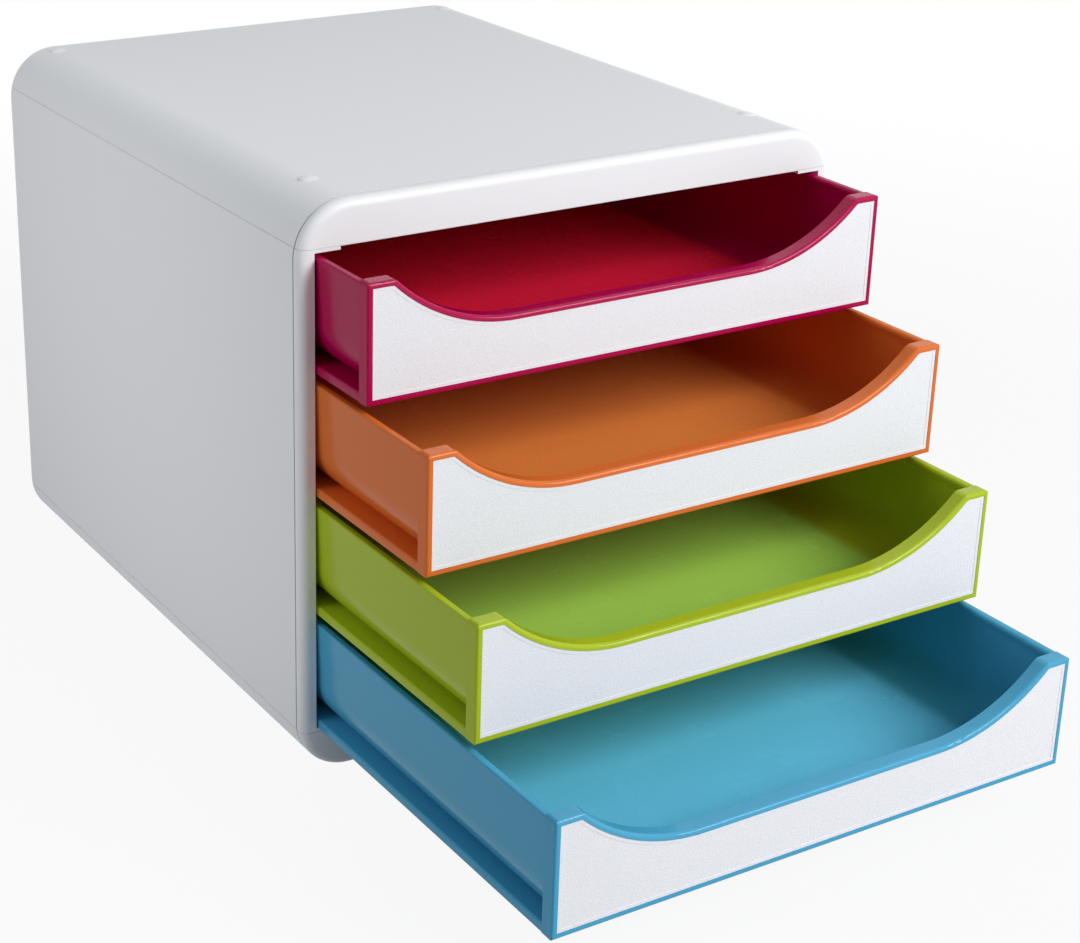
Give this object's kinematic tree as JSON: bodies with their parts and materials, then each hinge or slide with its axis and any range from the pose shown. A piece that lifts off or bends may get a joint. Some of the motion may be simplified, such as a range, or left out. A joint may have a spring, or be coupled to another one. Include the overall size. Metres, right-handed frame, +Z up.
{
  "type": "desktop drawer tower",
  "caption": "Desktop storage tower: a moulded case with rounded long edges holds a stack of shallow sliding trays, each with a scooped finger gap and a white panel in its front.",
  "frame": {"origin": "on the table plane, midway between the four feet", "axes": "+Z up, -Y out of the drawer fronts, +X to the right seen from the front"},
  "size_m": [0.3, 0.544, 0.2865],
  "materials": {
    "case_plastic": "satin, moulded light grey",
    "foot_rubber": "matt",
    "insert_plastic": "white with a fine leather grain",
    "raspberry_plastic": "glossy, moulded in one colour",
    "orange_plastic": "glossy, moulded in one colour",
    "lime_plastic": "glossy, moulded in one colour",
    "blue_plastic": "glossy, moulded in one colour"
  },
  "bodies": {
    "case": {"top_cover": "case_plastic", "base": "case_plastic", "left_side_panel": "case_plastic", "right_side_panel": "case_plastic", "back_panel": "case_plastic", "foot_front_left": "foot_rubber", "foot_front_right": "foot_rubber", "foot_back_left": "foot_rubber", "foot_back_right": "foot_rubber"},
    "drawer_1": {"drawer_1_tray": "raspberry_plastic", "drawer_1_front": "raspberry_plastic", "drawer_1_insert": "insert_plastic"},
    "drawer_2": {"drawer_2_tray": "orange_plastic", "drawer_2_front": "orange_plastic", "drawer_2_insert": "insert_plastic"},
    "drawer_3": {"drawer_3_tray": "lime_plastic", "drawer_3_front": "lime_plastic", "drawer_3_insert": "insert_plastic"},
    "drawer_4": {"drawer_4_tray": "blue_plastic", "drawer_4_front": "blue_plastic", "drawer_4_insert": "insert_plastic"}
  },
  "joints": [
    {"name": "drawer_1_slide", "type": "slide", "parent": "case", "child": "drawer_1", "axis": [0, -1, 0], "range_m": [-0.046, 0.204]},
    {"name": "drawer_2_slide", "type": "slide", "parent": "case", "child": "drawer_2", "axis": [0, -1, 0], "range_m": [-0.097, 0.153]},
    {"name": "drawer_3_slide", "type": "slide", "parent": "case", "child": "drawer_3", "axis": [0, -1, 0], "range_m": [-0.138, 0.112]},
    {"name": "drawer_4_slide", "type": "slide", "parent": "case", "child": "drawer_4", "axis": [0, -1, 0], "range_m": [-0.199, 0.051]}
  ]
}
